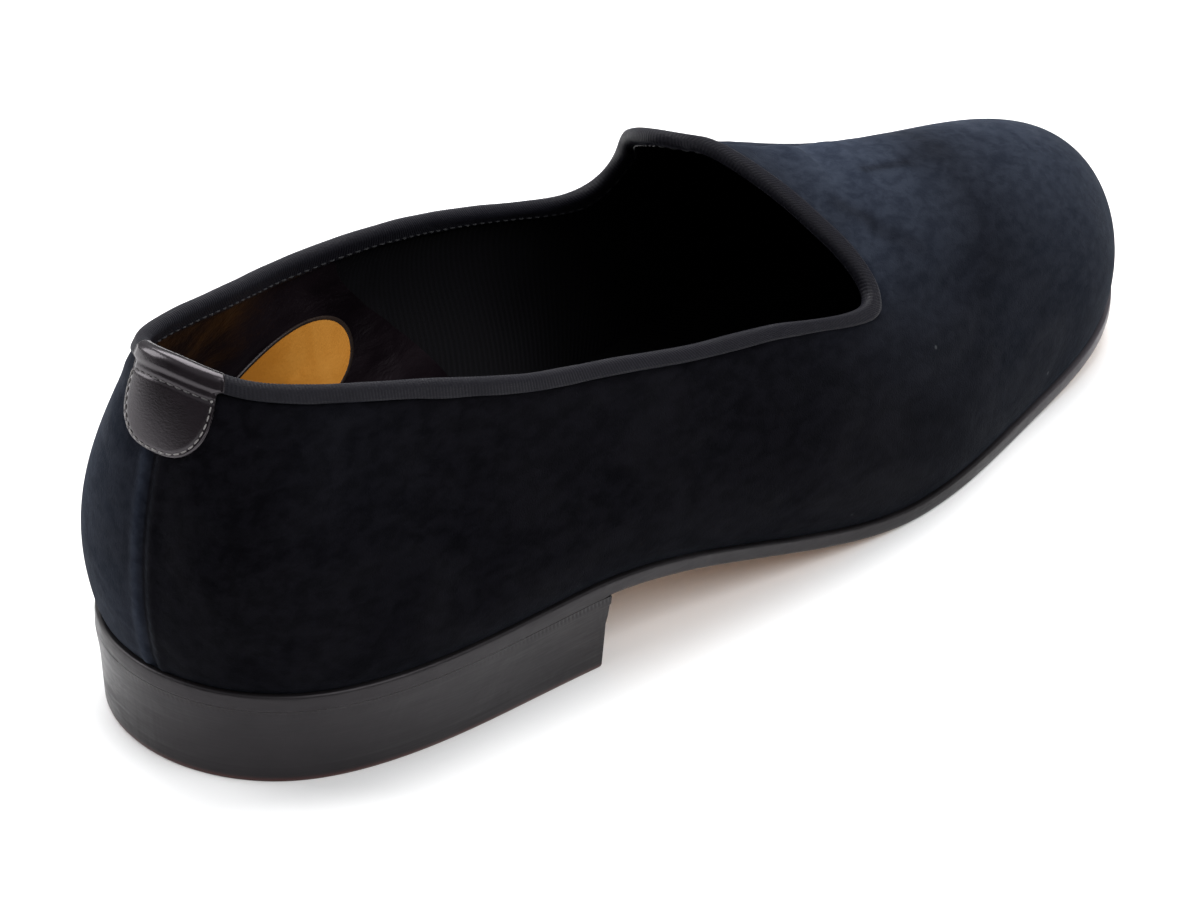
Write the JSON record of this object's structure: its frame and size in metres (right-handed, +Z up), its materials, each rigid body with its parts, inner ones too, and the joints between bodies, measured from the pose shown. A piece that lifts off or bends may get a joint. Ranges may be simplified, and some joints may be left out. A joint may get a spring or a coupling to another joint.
{
  "type": "velvet slipper loafer",
  "caption": "Right-foot slip-on velvet loafer with a bound topline rising to a tongue, a leather heel tab, a thin arched leather sole and a low heel.",
  "frame": {"origin": "on the ground, under the middle of the shoe's box in plan", "axes": "+X from heel to toe, +Y to the medial side of this right shoe, +Z up"},
  "size_m": [0.2946, 0.0912, 0.0841],
  "materials": {
    "velvet": "dark navy-black velvet pile",
    "ribbed_tape": "dark ribbed silk tape",
    "tab_leather": "black leather with a soft shine",
    "lining_leather": "dark plum lining leather, soft shine",
    "sole_leather": "natural tan leather underneath with a dark polished edge",
    "heel_leather": "black waxed and polished stacked leather"
  },
  "bodies": {
    "root": {"upper": "velvet", "topline_binding": "ribbed_tape", "heel_tab": "tab_leather", "insole": "lining_leather", "outsole": "sole_leather", "heel": "heel_leather"}
  },
  "joints": []
}
